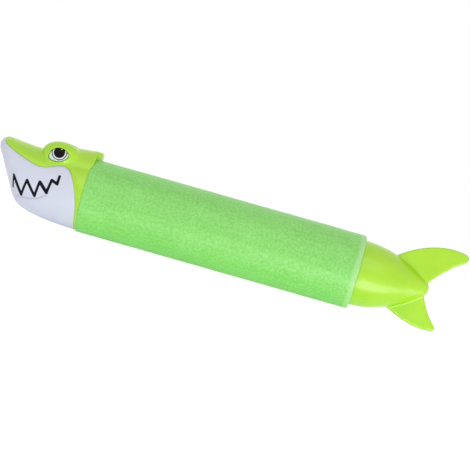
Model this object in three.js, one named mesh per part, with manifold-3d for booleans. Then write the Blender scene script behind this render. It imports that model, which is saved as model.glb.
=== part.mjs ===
// Foam water squirter in the shape of a shark: a pump tube in a foam sleeve, a moulded head,
// and a tail as the plunger's handle.
// Millimetres, +Z up. The nose points to -X, the tail to +X, and the shark's left side faces -Y.
// The origin is the middle of the flat strip under the sleeve on which the toy lies.

import * as THREE from "three";
import { mergeVertices } from "three/addons/utils/BufferGeometryUtils.js";
import Module from "manifold-3d";

// Clearances
const FIT = 0.3; // between pieces that are glued, pressed or clipped together
const SLIDE_FIT = 0.35; // round the rod and the piston, which slide
const SEAL_FIT = 0.15; // between a seal ring and the bore that it wipes
const SEAM = 0.2; // between the two halves of the tail

// Foam sleeve
const SLEEVE_LENGTH = 203;
const SLEEVE_RADIUS = 27.5;
const SLEEVE_WALL = 11.2;
const SLEEVE_EDGE = 2.6; // rounding of its two rims
const REST_DEPTH = 0.5; // the foam is this much flatter where the toy lies on it

// Barrel, the tube that the water is drawn into
const BARREL_WALL = 1.5;
const BARREL_INTO_HEAD = 30; // how far it runs on from the sleeve into the head
const GUIDE_RECESS = 0.5; // the rear guide ends this far inside the sleeve
const GUIDE_FLANGE = 3;
const GUIDE_DEPTH = 12; // length of the rear guide inside the barrel
const CAP_DEPTH = 10; // length of the front cap inside the barrel
const CAP_FLANGE = 3;
const SPOUT_RADIUS = 4.5;
const SPOUT_BORE = 2.6; // radius
const NOZZLE_WALL = 1.2;
const NOZZLE_LENGTH = 10;
const NOZZLE_FACE = 2.5; // thickness of its drilled front
const NOZZLE_ORIFICE = 1.5; // radius of the jet
const NOZZLE_SETBACK = 13.4; // behind the tip of the nose

// Head
const HEAD_LENGTH = 71; // from the sleeve to the tip of the nose
const COLLAR_STEP = 1.25; // the white shell is this much slimmer than the sleeve
const FACE_WALL = 1.6; // white shell, where the hood covers it
const REBATE = 1.3; // depth of the step in the white shell that takes the hood
const HOOD_PROUD = 0.5; // the hood stands this much above the white shell
const NARROWING = 0.45; // power by which the head narrows towards the nose: less is blunter
const CARRIER_LENGTH = 8; // ring between barrel and head
const CARRIER_INSET = 1.5;
const CREST_RISE = 4.7; // the crest of the hood stands this much above the sleeve
const CREST_BASE = 14; // height of its widest line above the axis
const CREST_HALF_WIDTH = 20;
const CREST_LENGTH = 44;
const CREST_SINK = 0.55; // share of its height that it loses towards the snout
const CREST_NARROWING = 0.75; // share of its width that it loses
const CREST_WALL = 1.8;
const TONGUE_LENGTH = 5.8; // a tongue on the crest reaches this far over the sleeve
const TONGUE_ROOT = 3; // and this far into the crest
const TONGUE_HALF_WIDTH = 6;
const TONGUE_GAP = 0.5;
const TONGUE_PROUD = 0.6; // its top stands this much above the crest
const TONGUE_CORNER = 3; // rounding of its top corner

// Eyes
const EYE_FORWARD = 24.2; // in front of the sleeve
const EYE_DROP = 3.25; // below the top of the white shell
const EYE_SPACING = 11; // each side of the middle
const EYE_HALF_HEIGHT = 4.9;
const EYE_HALF_LENGTH = 7.1;
const EYE_SEAT = 9.3; // where the eye's back lies, from the middle
const EYE_RECESS = 1.1; // the eyeball lies this far inside its brow
const BROW_WIDTH = 5.1; // the brow above and beside the eye
const BROW_LENGTH = 5.4; // the brow before and behind the eye

// Plunger
const PISTON_GAP = 1; // in front of the piston when it is pushed home
const PISTON_LENGTH = 20;
const PISTON_LAND = 4; // solid length before and after the seal grooves
const SEAL_SECTION = 2.6; // thickness of a seal ring
const GROOVE_SLACK = 0.3;
const ROD_SETBACK = 5.5; // the rod is this much slimmer than the bore
const ROD_WALL = 1.4;
const ROD_INTO_TAIL = 20;
const SPIGOT_LENGTH = 12; // of the piston and of the end plug, inside the rod
const PLUG_FLANGE = 3;
const PLUG_FLANGE_RISE = 3; // the plug's flange stands this much above the rod

// Tail
const TAIL_STEP = 3.8; // the tail is this much slimmer than the sleeve
const TAIL_LENGTH = 53.4;
const TAIL_LIFT = 2.3; // the tip of its body lies this much above the axis
const TAIL_WALL = 2.2;
const TAIL_RIB = 4; // ribs that hold the rod's end plug
const TAIL_SOLID_TIP = 12;
const FIN_THICKNESS = 6;
const FIN_ROUND = 1;
const UPPER_LOBE_REACH = 76.2;
const UPPER_LOBE_HEIGHT = 34.8;
const LOWER_LOBE_REACH = 64.4;
const LOWER_LOBE_FLOOR_GAP = 0.2;
const PEG_RADIUS = 1.5;
const PEG_LENGTH = 1.7;

// How finely round shapes are cut
const ROUND_STEPS = 40;
const SMALL_STEPS = 24; // on the small pieces inside
const PEG_STEPS = 10;
const CURVE_STEPS = 6;
const EDGE_STEPS = 3;
const SEAL_SIDES = 8;
const BALL_STEPS = 20;
const BALL_RINGS = 14;
const CREST_RINGS = 9;
const HEAD_STEPS = 30;
const HEAD_RINGS = 16;
const MERGE_DISTANCE = 1e-4;

// Sizes that follow from the ones above
const AXIS_HEIGHT = SLEEVE_RADIUS - REST_DEPTH;
const BARREL_RADIUS = SLEEVE_RADIUS - SLEEVE_WALL - FIT;
const BORE_RADIUS = BARREL_RADIUS - BARREL_WALL;
const ROD_RADIUS = BORE_RADIUS - ROD_SETBACK;
const ROD_BORE = ROD_RADIUS - ROD_WALL;
const PISTON_RADIUS = BORE_RADIUS - SLIDE_FIT;
const NOZZLE_RADIUS = SPOUT_RADIUS + FIT + NOZZLE_WALL;
const HEAD_RADIUS = SLEEVE_RADIUS - COLLAR_STEP;
const CREST_TOP = SLEEVE_RADIUS + CREST_RISE;
const EYE_HEIGHT = HEAD_RADIUS - EYE_DROP;
const BROW_RADIUS = EYE_HALF_HEIGHT + BROW_WIDTH;
const BROW_HALF_LENGTH = EYE_HALF_LENGTH + BROW_LENGTH;
const TAIL_RADIUS = SLEEVE_RADIUS - TAIL_STEP;
const LOWER_LOBE_DEPTH = AXIS_HEIGHT - LOWER_LOBE_FLOOR_GAP;

// Places along the barrel's axis
const SLEEVE_FRONT = -SLEEVE_LENGTH / 2;
const SLEEVE_REAR = SLEEVE_LENGTH / 2;
const COLLAR = SLEEVE_FRONT - FIT; // the head's rear face
const BARREL_FRONT = SLEEVE_FRONT - BARREL_INTO_HEAD;
const GUIDE_REAR = SLEEVE_REAR - GUIDE_RECESS;
const GUIDE_SHOULDER = GUIDE_REAR - GUIDE_FLANGE;
const BARREL_REAR = GUIDE_SHOULDER - FIT;
const CAP_SHOULDER = BARREL_FRONT - FIT;
const CAP_FRONT = CAP_SHOULDER - CAP_FLANGE;
const NOZZLE_FRONT = COLLAR - HEAD_LENGTH + NOZZLE_SETBACK;
const PISTON_FRONT = BARREL_FRONT + CAP_DEPTH + PISTON_GAP;
const PISTON_REAR = PISTON_FRONT + PISTON_LENGTH;
const TAIL_FRONT = SLEEVE_REAR + FIT;
const ROD_REAR = TAIL_FRONT + ROD_INTO_TAIL;

const wasm = await Module();
wasm.setup();

// A closed geometry as a solid that can be joined and cut.
// Triangles that merging has shut are left out.
function solid(geometry) {
  const bare = geometry.clone();
  bare.deleteAttribute("normal");
  bare.deleteAttribute("uv");
  const merged = mergeVertices(bare, MERGE_DISTANCE);
  const corners = merged.index.array;
  const triVerts = [];
  for (let i = 0; i < corners.length; i += 3) {
    const [a, b, c] = [corners[i], corners[i + 1], corners[i + 2]];
    if (a !== b && b !== c && c !== a) triVerts.push(a, b, c);
  }
  return new wasm.Manifold(
    new wasm.Mesh({
      numProp: 3,
      vertProperties: new Float32Array(merged.attributes.position.array),
      triVerts: new Uint32Array(triVerts),
    }),
  );
}

// A solid as a geometry for a mesh.
function geometryOf(body) {
  const mesh = body.getMesh();
  const geometry = new THREE.BufferGeometry();
  geometry.setAttribute("position", new THREE.BufferAttribute(mesh.vertProperties, 3));
  geometry.setIndex(new THREE.BufferAttribute(mesh.triVerts, 1));
  geometry.computeVertexNormals();
  return geometry;
}

// A profile of [place along the axis, radius] turned round the barrel's axis.
function lathe(profile, steps) {
  const points = profile.map(([along, radius]) => new THREE.Vector2(radius, along));
  return new THREE.LatheGeometry(points, steps).rotateZ(-Math.PI / 2);
}

function turned(profile, steps = ROUND_STEPS) {
  return solid(lathe(profile, steps));
}

function rodAlongX(radius, from, to) {
  return turned([
    [from, 0],
    [from, radius],
    [to, radius],
    [to, 0],
  ]);
}

function tubeAlongX(inner, outer, from, to) {
  return turned([
    [from, inner],
    [from, outer],
    [to, outer],
    [to, inner],
    [from, inner],
  ]);
}

// A rod across the toy. Stretch makes it oval, longer along the axis than it is high.
function rodAlongY(radius, length, place, steps = SMALL_STEPS, stretch = 1) {
  const rod = new THREE.CylinderGeometry(radius, radius, length, steps);
  rod.scale(stretch, 1, 1);
  return solid(rod.translate(place.x, place.y, place.z));
}

// A ball that is longer along the axis than it is high and wide.
function longBall(halfLength, radius, place) {
  const sphere = new THREE.SphereGeometry(radius, BALL_STEPS, BALL_RINGS);
  sphere.scale(halfLength / radius, 1, 1);
  return solid(sphere.translate(place.x, place.y, place.z));
}

function block(low, high) {
  const size = high.clone().sub(low);
  const middle = high.clone().add(low).multiplyScalar(0.5);
  const box = new THREE.BoxGeometry(size.x, size.y, size.z);
  return solid(box.translate(middle.x, middle.y, middle.z));
}

// A side outline, drawn in X and Z, as a plate of the given thickness about the middle plane.
function plate(outline, thickness, round = 0) {
  const extruded = new THREE.ExtrudeGeometry(outline, {
    depth: thickness - 2 * round,
    curveSegments: CURVE_STEPS,
    bevelEnabled: round > 0,
    bevelSize: round,
    bevelThickness: round,
    bevelOffset: -round,
    bevelSegments: 1,
  });
  extruded.translate(0, 0, round - thickness / 2);
  return solid(extruded.rotateX(Math.PI / 2));
}

// Rings of points joined into a skin. The first ring is closed by a flat face, and the last one is
// a point or flat.
function skin(rings) {
  const count = rings[0].length;
  const middleOf = (ring) => {
    const sum = ring.reduce((total, p) => total.add(p), new THREE.Vector3());
    return sum.divideScalar(count);
  };
  const points = [...rings.flat(), middleOf(rings[0]), middleOf(rings[rings.length - 1])];
  const index = [];
  for (let k = 0; k < rings.length - 1; k++) {
    for (let j = 0; j < count; j++) {
      const next = (j + 1) % count;
      const [a, b] = [k * count + j, k * count + next];
      const [c, d] = [a + count, b + count];
      index.push(a, d, b, a, c, d);
    }
  }
  const last = (rings.length - 1) * count;
  for (let j = 0; j < count; j++) {
    const next = (j + 1) % count;
    index.push(points.length - 2, j, next);
    index.push(points.length - 1, last + next, last + j);
  }
  const geometry = new THREE.BufferGeometry().setFromPoints(points);
  geometry.setIndex(index);
  return solid(geometry);
}

// A place on the head's side outline: a share of its length in front of the collar,
// and a share of its radius above the axis.
function onHead(forward, up) {
  return new THREE.Vector2(forward * HEAD_LENGTH, up * HEAD_RADIUS);
}

// A run of Bezier curves through the head's outline: each stretch is two handles and an end.
function headLine(start, ...stretches) {
  const line = new THREE.Path();
  line.moveTo(start.x, start.y);
  for (const [first, second, end] of stretches) {
    line.bezierCurveTo(first.x, first.y, second.x, second.y, end.x, end.y);
  }
  return line;
}

const NOSE = onHead(1, 0.76);
// Over the snout, from the collar to the nose
const SNOUT_LINE = headLine(
  onHead(0, 1),
  [onHead(0.22, 1), onHead(0.4, 0.91), onHead(0.59, 0.918)],
  [onHead(0.7, 0.922), onHead(0.79, 0.99), onHead(0.885, 0.99)],
  [onHead(0.96, 0.99), onHead(1, 0.91), NOSE],
);
// Under the belly, round the chin and up the sloping mouth to the nose
const JAW_LINE = headLine(
  onHead(0, -1),
  [onHead(0.25, -1), onHead(0.48, -0.95), onHead(0.62, -0.8)],
  [onHead(0.68, -0.733), onHead(0.725, -0.645), onHead(0.768, -0.45)],
  [onHead(0.82, -0.2), onHead(0.88, 0.05), onHead(0.93, 0.31)],
  [onHead(0.965, 0.475), onHead(1, 0.61), NOSE],
);

// A point of a side line, pushed out of the head by an offset.
// Side is 1 above the head and -1 below it.
function pushedOut(line, share, offset, side) {
  const tangent = line.getTangent(share);
  const normal = new THREE.Vector2(-tangent.y, tangent.x).multiplyScalar(side);
  return line.getPoint(share).addScaledVector(normal, offset);
}

// The head as a solid whose skin lies an offset outside the white shell's.
// Overrun runs it past the collar. The rings lie closer together towards the nose,
// and at the tip the offset no longer widens it.
function headForm(offset, overrun = 0) {
  const tipPower = 8;
  const rings = [];
  for (let k = 0; k <= HEAD_RINGS; k++) {
    const share = Math.sin((Math.PI / 2) * (k / HEAD_RINGS));
    const top = pushedOut(SNOUT_LINE, share, offset, 1);
    const bottom = pushedOut(JAW_LINE, share, offset, -1);
    const middle = top.clone().add(bottom).multiplyScalar(0.5);
    const half = top.clone().sub(bottom).multiplyScalar(0.5);
    const width = HEAD_RADIUS * (1 - share ** 2) ** NARROWING + offset * (1 - share ** tipPower);
    const ring = [];
    for (let j = 0; j < HEAD_STEPS; j++) {
      const angle = (2 * Math.PI * j) / HEAD_STEPS;
      const forward = middle.x + half.x * Math.sin(angle);
      const up = middle.y + half.y * Math.sin(angle);
      ring.push(new THREE.Vector3(COLLAR - forward, width * Math.cos(angle), up));
    }
    rings.push(ring);
  }
  if (overrun) rings.unshift(rings[0].map((p) => new THREE.Vector3(COLLAR + overrun, p.y, p.z)));
  return skin(rings);
}

// The hood's edge: down behind the tip of the nose, back under the eye, and down beside the collar.
const HOOD_EDGE = new THREE.SplineCurve([
  onHead(0.955, 2),
  onHead(0.955, 1.2),
  onHead(0.953, 0.98),
  onHead(0.94, 0.84),
  onHead(0.87, 0.735),
  onHead(0.76, 0.62),
  onHead(0.62, 0.5),
  onHead(0.53, 0.44),
  onHead(0.45, 0.45),
  onHead(0.36, 0.54),
  onHead(0.27, 0.615),
  onHead(0.21, 0.57),
  onHead(0.165, 0.45),
  onHead(0.12, 0.25),
  onHead(0.08, 0.02),
  onHead(0.048, -0.3),
  onHead(0.034, -0.6),
  onHead(0.032, -1.3),
]);
const HOOD_EDGE_STEPS = 34;

// The space that the hood takes, seen from the side and cut right across.
// Margin grows it at its edge.
function hoodSpace(margin) {
  const outline = new THREE.Shape();
  const farDown = -2 * HEAD_RADIUS;
  outline.moveTo(COLLAR, farDown);
  outline.lineTo(COLLAR, HOOD_EDGE.getPoint(0).y);
  for (let k = 0; k <= HOOD_EDGE_STEPS; k++) {
    const edge = pushedOut(HOOD_EDGE, k / HOOD_EDGE_STEPS, margin, 1);
    outline.lineTo(COLLAR - edge.x, edge.y);
  }
  const last = HOOD_EDGE.getPoint(1);
  outline.lineTo(COLLAR - last.x - margin, farDown);
  return plate(outline, 4 * HEAD_RADIUS);
}

const HOOD_INNER = headForm(FIT - REBATE, FIT);
const FACE_INNER_OFFSET = -REBATE - FACE_WALL;

// Foam sleeve: a thick tube with rounded rims, flat where it lies
function foamSleeve() {
  const inner = BARREL_RADIUS + FIT;
  const profile = [[SLEEVE_FRONT, inner]];
  for (let k = 0; k <= EDGE_STEPS; k++) {
    const angle = (Math.PI / 2) * (k / EDGE_STEPS);
    const along = SLEEVE_FRONT + SLEEVE_EDGE * (1 - Math.sin(angle));
    profile.push([along, SLEEVE_RADIUS - SLEEVE_EDGE * (1 - Math.cos(angle))]);
  }
  const front = profile.slice(1).sort((a, b) => a[0] - b[0]);
  const rear = front.map(([along, radius]) => [-along, radius]).reverse();
  const tube = turned([profile[0], ...front, ...rear, [SLEEVE_REAR, inner], profile[0]]);
  const below = block(
    new THREE.Vector3(-SLEEVE_LENGTH, -SLEEVE_RADIUS, -2 * SLEEVE_RADIUS),
    new THREE.Vector3(SLEEVE_LENGTH, SLEEVE_RADIUS, -AXIS_HEIGHT),
  );
  return tube.subtract(below);
}

// Barrel, its two ends and the nozzle
function barrelTube() {
  return tubeAlongX(BORE_RADIUS, BARREL_RADIUS, BARREL_FRONT, BARREL_REAR);
}

function barrelFrontCap() {
  const plug = BORE_RADIUS - FIT;
  const plugRear = BARREL_FRONT + CAP_DEPTH;
  const spoutFront = NOZZLE_FRONT + NOZZLE_FACE + FIT;
  return turned(
    [
      [spoutFront, SPOUT_BORE],
      [spoutFront, SPOUT_RADIUS],
      [CAP_FRONT, SPOUT_RADIUS],
      [CAP_FRONT, BARREL_RADIUS],
      [CAP_SHOULDER, BARREL_RADIUS],
      [CAP_SHOULDER, plug],
      [plugRear, plug],
      [plugRear, SPOUT_BORE],
      [spoutFront, SPOUT_BORE],
    ],
    SMALL_STEPS,
  );
}

function nozzleTip() {
  const seat = SPOUT_RADIUS + FIT;
  const chamfer = NOZZLE_WALL / 2;
  return turned(
    [
      [NOZZLE_FRONT, NOZZLE_ORIFICE],
      [NOZZLE_FRONT, NOZZLE_RADIUS - chamfer],
      [NOZZLE_FRONT + chamfer, NOZZLE_RADIUS],
      [NOZZLE_FRONT + NOZZLE_LENGTH, NOZZLE_RADIUS],
      [NOZZLE_FRONT + NOZZLE_LENGTH, seat],
      [NOZZLE_FRONT + NOZZLE_FACE, seat],
      [NOZZLE_FRONT + NOZZLE_FACE, NOZZLE_ORIFICE],
      [NOZZLE_FRONT, NOZZLE_ORIFICE],
    ],
    SMALL_STEPS,
  );
}

function rearGuide() {
  const hole = ROD_RADIUS + SLIDE_FIT;
  const plug = BORE_RADIUS - FIT;
  const front = BARREL_REAR - GUIDE_DEPTH;
  return turned(
    [
      [front, hole],
      [front, plug],
      [GUIDE_SHOULDER, plug],
      [GUIDE_SHOULDER, BARREL_RADIUS],
      [GUIDE_REAR, BARREL_RADIUS],
      [GUIDE_REAR, hole],
      [front, hole],
    ],
    SMALL_STEPS,
  );
}

// Head: white shell, green hood over it, eyes in the hood, and the ring that holds them on the barrel
function faceShell() {
  const step = hoodSpace(FIT).subtract(headForm(-REBATE, FIT));
  const hollow = headForm(FACE_INNER_OFFSET, FIT);
  const mouth = rodAlongX(NOZZLE_RADIUS + FIT, COLLAR - 2 * HEAD_LENGTH, CAP_FRONT);
  return headForm(0).subtract(step).subtract(hollow).subtract(mouth);
}

function eyePlace(side) {
  return new THREE.Vector3(COLLAR - EYE_FORWARD, side * EYE_SPACING, EYE_HEIGHT);
}

// The oval space of an eye. Margin grows it all round.
function eyeSpace(side, margin) {
  const depth = 2 * SLEEVE_RADIUS;
  const place = eyePlace(side);
  place.y = side * (EYE_SEAT - margin + depth / 2);
  const stretch = (EYE_HALF_LENGTH + margin) / (EYE_HALF_HEIGHT + margin);
  return rodAlongY(EYE_HALF_HEIGHT + margin, depth, place, SMALL_STEPS, stretch);
}

// The crest of the hood: oval rings that run forward from the collar and sink into the snout
// between the brows.
function crest(offset) {
  const fade = THREE.MathUtils.smoothstep;
  const [sinkStart, narrowStart] = [0.5, 0.4];
  const rings = [];
  for (let k = 0; k <= CREST_RINGS; k++) {
    const share = k / CREST_RINGS;
    const sunk = 1 - CREST_SINK * fade(share, sinkStart, 1);
    const narrowed = 1 - CREST_NARROWING * fade(share, narrowStart, 1);
    const height = (CREST_TOP - CREST_BASE) * sunk + offset;
    const width = CREST_HALF_WIDTH * narrowed + offset;
    const ring = [];
    for (let j = 0; j < HEAD_STEPS; j++) {
      const angle = (2 * Math.PI * j) / HEAD_STEPS;
      const [across, up] = [width * Math.cos(angle), CREST_BASE + height * Math.sin(angle)];
      ring.push(new THREE.Vector3(COLLAR - share * CREST_LENGTH, across, up));
    }
    rings.push(ring);
  }
  return skin(rings);
}

// A short tongue on top of the crest, whose end lies over the sleeve.
function tongue() {
  const [end, top] = [COLLAR + TONGUE_LENGTH, CREST_TOP + TONGUE_PROUD];
  const under = SLEEVE_RADIUS + TONGUE_GAP;
  const outline = new THREE.Shape();
  outline.moveTo(COLLAR - TONGUE_ROOT, under);
  outline.lineTo(end, under);
  outline.lineTo(end, top - TONGUE_CORNER);
  outline.quadraticCurveTo(end, top, end - TONGUE_CORNER, top);
  outline.lineTo(COLLAR - TONGUE_ROOT, CREST_TOP);
  return plate(outline, 2 * TONGUE_HALF_WIDTH);
}

function hoodShell() {
  const hollowFront = COLLAR - EYE_FORWARD + EYE_HALF_LENGTH + 2 * CREST_WALL;
  const behindEyes = block(
    new THREE.Vector3(hollowFront, -CREST_HALF_WIDTH, 0),
    new THREE.Vector3(COLLAR - CREST_WALL, CREST_HALF_WIDTH, 2 * CREST_TOP),
  );
  let hood = headForm(HOOD_PROUD).add(crest(0));
  for (const side of [-1, 1]) hood = hood.add(longBall(BROW_HALF_LENGTH, BROW_RADIUS, eyePlace(side)));
  hood = hood.intersect(hoodSpace(0)).add(tongue());
  for (const side of [-1, 1]) hood = hood.subtract(eyeSpace(side, FIT));
  return hood.subtract(crest(-CREST_WALL).intersect(behindEyes)).subtract(HOOD_INNER);
}

function eye(side) {
  const eyeball = longBall(BROW_HALF_LENGTH - EYE_RECESS, BROW_RADIUS - EYE_RECESS, eyePlace(side));
  return eyeSpace(side, 0).intersect(eyeball).subtract(headForm(FIT - REBATE + FIT));
}

function headCarrier() {
  const front = COLLAR - CARRIER_INSET - CARRIER_LENGTH;
  const ring = tubeAlongX(BARREL_RADIUS + FIT, 2 * HEAD_RADIUS, front, COLLAR - CARRIER_INSET);
  return ring.intersect(headForm(FACE_INNER_OFFSET - FIT, FIT));
}

// Plunger: piston with two seal rings, rod, end plug and the tail that is its handle
const SEAL_MIDDLE = BORE_RADIUS - SEAL_FIT - SEAL_SECTION / 2;
const GROOVE_WIDTH = SEAL_SECTION + 2 * GROOVE_SLACK;
const FRONT_SEAL = PISTON_FRONT + PISTON_LAND + GROOVE_WIDTH / 2;
const REAR_SEAL = PISTON_REAR - PISTON_LAND - GROOVE_WIDTH / 2;

function sealRing(along) {
  const profile = [];
  for (let k = 0; k <= SEAL_SIDES; k++) {
    const angle = Math.PI - (2 * Math.PI * (k % SEAL_SIDES)) / SEAL_SIDES;
    const out = (SEAL_SECTION / 2) * Math.sin(angle);
    profile.push([along + (SEAL_SECTION / 2) * Math.cos(angle), SEAL_MIDDLE + out]);
  }
  return turned(profile, SMALL_STEPS);
}

function piston() {
  const floor = SEAL_MIDDLE - SEAL_SECTION / 2 - GROOVE_SLACK;
  const groove = (along) => [
    [along - GROOVE_WIDTH / 2, PISTON_RADIUS],
    [along - GROOVE_WIDTH / 2, floor],
    [along + GROOVE_WIDTH / 2, floor],
    [along + GROOVE_WIDTH / 2, PISTON_RADIUS],
  ];
  const spigot = ROD_BORE - FIT;
  return turned(
    [
      [PISTON_FRONT, 0],
      [PISTON_FRONT, PISTON_RADIUS],
      ...groove(FRONT_SEAL),
      ...groove(REAR_SEAL),
      [PISTON_REAR, PISTON_RADIUS],
      [PISTON_REAR, spigot],
      [PISTON_REAR + SPIGOT_LENGTH, spigot],
      [PISTON_REAR + SPIGOT_LENGTH, 0],
    ],
    SMALL_STEPS,
  );
}

function plungerRod() {
  return tubeAlongX(ROD_BORE, ROD_RADIUS, PISTON_REAR + FIT, ROD_REAR);
}

function rodEndPlug() {
  const spigot = ROD_BORE - FIT;
  const shoulder = ROD_REAR + FIT;
  return turned(
    [
      [ROD_REAR - SPIGOT_LENGTH, 0],
      [ROD_REAR - SPIGOT_LENGTH, spigot],
      [shoulder, spigot],
      [shoulder, ROD_RADIUS + PLUG_FLANGE_RISE],
      [shoulder + PLUG_FLANGE, ROD_RADIUS + PLUG_FLANGE_RISE],
      [shoulder + PLUG_FLANGE, 0],
    ],
    SMALL_STEPS,
  );
}

// The tail's round body, as [place along the axis, radius] from the sleeve to its tip.
// Wall moves it in from the outer skin.
function tailProfile(wall) {
  const line = new THREE.Path();
  line.moveTo(0, 1);
  line.bezierCurveTo(0.35, 1, 0.6, 0.74, 0.87, 0.335);
  line.bezierCurveTo(0.95, 0.22, 1, 0.12, 1, 0);
  const points = line.getPoints(CURVE_STEPS);
  return points.map((p) => [TAIL_FRONT + p.x * TAIL_LENGTH, p.y * TAIL_RADIUS - wall]);
}

// The tail's body or its hollow, turned from a profile and then lifted more and more towards the tip.
function liftedTail(profile) {
  const geometry = lathe(profile, ROUND_STEPS);
  const places = geometry.attributes.position;
  for (let i = 0; i < places.count; i++) {
    const share = (places.getX(i) - TAIL_FRONT) / TAIL_LENGTH;
    places.setZ(i, places.getZ(i) + TAIL_LIFT * share ** 2);
  }
  return solid(geometry);
}

// The two lobes of the fin in one outline, closed inside the round body.
function finOutline() {
  const upper = (along, up) => [TAIL_FRONT + along * UPPER_LOBE_REACH, up * UPPER_LOBE_HEIGHT];
  const lower = (along, up) => [TAIL_FRONT + along * LOWER_LOBE_REACH, up * LOWER_LOBE_DEPTH];
  const outline = new THREE.Shape();
  outline.moveTo(...upper(0.26, 0.3));
  outline.lineTo(...upper(0.315, 0.54));
  outline.bezierCurveTo(...upper(0.5, 0.88), ...upper(0.735, 1.063), ...upper(0.945, 0.98));
  outline.bezierCurveTo(...upper(0.99, 0.96), ...upper(1.02, 0.89), ...upper(0.985, 0.81));
  outline.bezierCurveTo(...upper(0.945, 0.725), ...upper(0.905, 0.71), ...upper(0.873, 0.64));
  outline.bezierCurveTo(...upper(0.8, 0.485), ...upper(0.72, 0.31), ...upper(0.66, 0.1));
  outline.bezierCurveTo(...lower(0.8, -0.25), ...lower(0.88, -0.56), ...lower(0.99, -0.845));
  outline.bezierCurveTo(...lower(1.02, -0.92), ...lower(0.985, -0.975), ...lower(0.95, -0.985));
  outline.bezierCurveTo(...lower(0.77, -1.04), ...lower(0.58, -0.865), ...lower(0.4, -0.65));
  outline.lineTo(...lower(0.3, -0.3));
  return outline;
}

// Both halves of the tail in one: body and fin, hollowed, with ribs that trap the rod's end plug.
function wholeTail() {
  const body = liftedTail([[TAIL_FRONT, 0], ...tailProfile(0)]);
  const fin = plate(finOutline(), FIN_THICKNESS, FIN_ROUND);
  const hollowEnd = TAIL_FRONT + TAIL_LENGTH - TAIL_SOLID_TIP;
  const hollowWall = tailProfile(TAIL_WALL).filter(([along]) => along < hollowEnd);
  const hollow = liftedTail([[TAIL_FRONT, 0], ...hollowWall, [hollowEnd, 0]]);
  const wide = 2 * TAIL_RADIUS;
  const plugFront = ROD_REAR + FIT;
  const plugRear = plugFront + PLUG_FLANGE;
  const frontHollow = hollow.intersect(rodAlongX(wide, TAIL_FRONT + TAIL_WALL, plugFront - FIT - TAIL_RIB));
  const rearHollow = hollow.intersect(
    rodAlongX(wide, plugRear + FIT + TAIL_RIB, TAIL_FRONT + TAIL_LENGTH),
  );
  const plugSlot = rodAlongX(ROD_RADIUS + PLUG_FLANGE_RISE + FIT, plugFront - FIT, plugRear + FIT);
  const rodHole = rodAlongX(ROD_RADIUS + FIT, TAIL_FRONT - TAIL_WALL, plugFront);
  return body.add(fin).subtract(frontHollow).subtract(rearHollow).subtract(plugSlot).subtract(rodHole);
}

// Pegs that line the two halves up: in each lobe of the fin and in the tip of the body
const PEG_PLACES = [
  [0.72 * UPPER_LOBE_REACH, 0.72 * UPPER_LOBE_HEIGHT],
  [0.8 * LOWER_LOBE_REACH, -0.72 * LOWER_LOBE_DEPTH],
  [TAIL_LENGTH - TAIL_SOLID_TIP / 2, TAIL_LIFT],
];

function tailHalf(side) {
  const far = 4 * TAIL_RADIUS;
  const seam = side * (SEAM / 2);
  const beyond = seam + side * far;
  const half = block(
    new THREE.Vector3(TAIL_FRONT - far, Math.min(seam, beyond), -far),
    new THREE.Vector3(TAIL_FRONT + UPPER_LOBE_REACH + far, Math.max(seam, beyond), far),
  );
  let shell = wholeTail().intersect(half);
  for (const [along, up] of PEG_PLACES) {
    const place = new THREE.Vector3(TAIL_FRONT + along, 0, up);
    const peg = (margin) => rodAlongY(PEG_RADIUS + margin, 2 * (PEG_LENGTH + margin), place, PEG_STEPS);
    shell = side < 0 ? shell.add(peg(0)) : shell.subtract(peg(FIT));
  }
  return shell;
}

// Finishes
const finish = (color, roughness) => new THREE.MeshStandardMaterial({ color, roughness, metalness: 0 });
const FOAM = finish(0x8edc71, 0.85);
const LIME = finish(0xb0de52, 0.4);
const WHITE = finish(0xe6e9f0, 0.4);
const EYE_WHITE = finish(0xf2f3f6, 0.25);
const TUBE_WHITE = finish(0xeef0f2, 0.35);
const RUBBER = finish(0x17181a, 0.6);

// One group for each body that moves as one, all on the barrel's axis
function piece(name, body, material) {
  const mesh = new THREE.Mesh(geometryOf(body), material);
  mesh.name = name;
  return mesh;
}

const barrel = new THREE.Group();
barrel.add(
  piece("foam_sleeve", foamSleeve(), FOAM),
  piece("barrel_tube", barrelTube(), TUBE_WHITE),
  piece("barrel_front_cap", barrelFrontCap(), TUBE_WHITE),
  piece("nozzle_tip", nozzleTip(), TUBE_WHITE),
  piece("rear_guide", rearGuide(), TUBE_WHITE),
  piece("head_carrier", headCarrier(), TUBE_WHITE),
  piece("face_shell", faceShell(), WHITE),
  piece("hood_shell", hoodShell(), LIME),
  piece("left_eye", eye(-1), EYE_WHITE),
  piece("right_eye", eye(1), EYE_WHITE),
);

const pistonSeals = new THREE.Group();
pistonSeals.add(
  piece("front_seal_ring", sealRing(FRONT_SEAL), RUBBER),
  piece("rear_seal_ring", sealRing(REAR_SEAL), RUBBER),
);

const plunger = new THREE.Group();
plunger.add(
  piece("piston", piston(), TUBE_WHITE),
  piece("plunger_rod", plungerRod(), TUBE_WHITE),
  piece("rod_end_plug", rodEndPlug(), TUBE_WHITE),
  piece("tail_left_shell", tailHalf(-1), LIME),
  piece("tail_right_shell", tailHalf(1), LIME),
);

const squirter = new THREE.Group();
for (const body of [barrel, pistonSeals, plunger]) {
  body.position.z = AXIS_HEIGHT;
  squirter.add(body);
}

export default squirter;
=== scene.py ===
# %% [markdown]
# A foam water squirter in the shape of a shark. The real toy is a pump: a plastic tube inside a thick
# foam sleeve, a moulded head over the tube's front end, and a plunger whose handle is the shark's tail.
# The measured frame below fixes every size and place. This lesson adds what a frame can't show: soft
# edges, moulded blends, printed marks, foam skin and plastic gloss.

# %% Load the measured frame
import math

import bmesh
import bpy
from mathutils import Matrix, Vector, kdtree, noise
from mathutils.bvhtree import BVHTree
from mathutils.geometry import interpolate_bezier


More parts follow.
